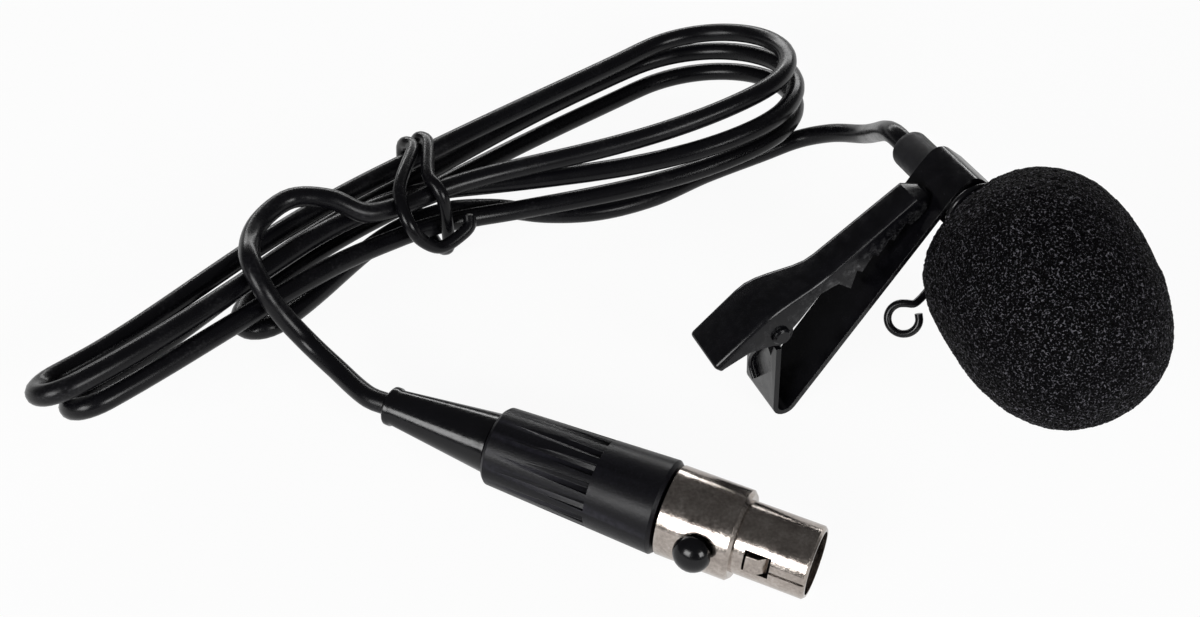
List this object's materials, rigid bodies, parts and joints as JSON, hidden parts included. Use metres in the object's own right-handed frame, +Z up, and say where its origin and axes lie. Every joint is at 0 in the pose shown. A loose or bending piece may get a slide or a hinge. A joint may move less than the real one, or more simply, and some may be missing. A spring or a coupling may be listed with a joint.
{
  "type": "lavalier microphone",
  "caption": "Small tie microphone with a foam windscreen and a toothed spring clip, its thin cord folded in a wire tie, ending in a miniature latching plug.",
  "frame": {"origin": "bottom centre of the box round the microphone with its windscreen, clip and cord hook, on the table", "axes": "+Z up from the table, +X to the right and +Y away from the viewer in the pictured lay"},
  "size_m": [0.1188, 0.0894, 0.0311],
  "materials": {
    "cord": "black semi-gloss PVC jacket",
    "tie": "black plastic-coated wire",
    "soft_rubber": "matte black rubber",
    "foam": "black open-cell foam",
    "black_steel": "glossy black enamel on spring steel",
    "black_metal": "satin black coating",
    "mesh": "dark perforated steel",
    "capsule": "bare aluminium can",
    "board": "green solder mask",
    "wire": "red wire insulation",
    "bare": "bare copper wire",
    "gloss": "glossy black moulding",
    "housing": "finely textured matte black",
    "nickel": "bright nickel plate",
    "insert": "black insulator",
    "gold": "gold-plated contact",
    "nylon": "natural nylon"
  },
  "bodies": {
    "microphone": {"mic_strain_relief": "soft_rubber", "mic_body": "black_metal", "mic_capsule": "capsule", "mic_capsule_gasket": "soft_rubber", "mic_board": "board", "mic_wire_signal": "wire", "mic_wire_ground": "bare", "mic_grille": "mesh", "cable_hook": "black_steel", "plug_boot": "gloss", "plug_housing": "housing", "plug_cable_chuck": "nylon", "plug_shell": "nickel", "plug_insert": "insert", "plug_contact_1": "gold", "plug_contact_2": "gold", "plug_contact_3": "gold", "cord_hank": "cord", "cord_mic_lead": "cord", "cord_plug_lead": "cord", "twist_tie": "tie"},
    "foam": {"windscreen": "foam"},
    "clip": {"clip_lower_jaw": "black_steel", "clip_pivot_pin": "black_steel", "clip_spring": "black_steel"},
    "jaw": {"clip_upper_jaw": "black_steel"},
    "latch": {"latch_lever": "nickel", "latch_button": "gloss"}
  },
  "joints": [
    {"name": "clip_swivel", "type": "hinge", "parent": "microphone", "child": "clip", "pos_m": [0.00314, 0.00914, 0.02247], "axis": [0.3915, -0.9179, 0.0652], "continuous": true},
    {"name": "jaw_hinge", "type": "hinge", "parent": "clip", "child": "jaw", "pos_m": [-0.01652, 0.00005, 0.01256], "axis": [0.3915, -0.9179, 0.0652], "range_deg": [0, 28], "stiffness_Nm_per_rad": 0.02, "springref_deg": -34.38, "deforming": ["clip_spring"]},
    {"name": "windscreen_slide", "type": "slide", "parent": "microphone", "child": "foam", "axis": [0.3915, -0.9179, 0.0652], "range_m": [0, 0.012]},
    {"name": "latch_press", "type": "hinge", "parent": "microphone", "child": "latch", "pos_m": [-0.03071, -0.02002, 0.00558], "axis": [0.1346, 0.2873, 0.9483], "range_deg": [0, 2.2], "stiffness_Nm_per_rad": 0.1, "springref_deg": -1.15}
  ]
}
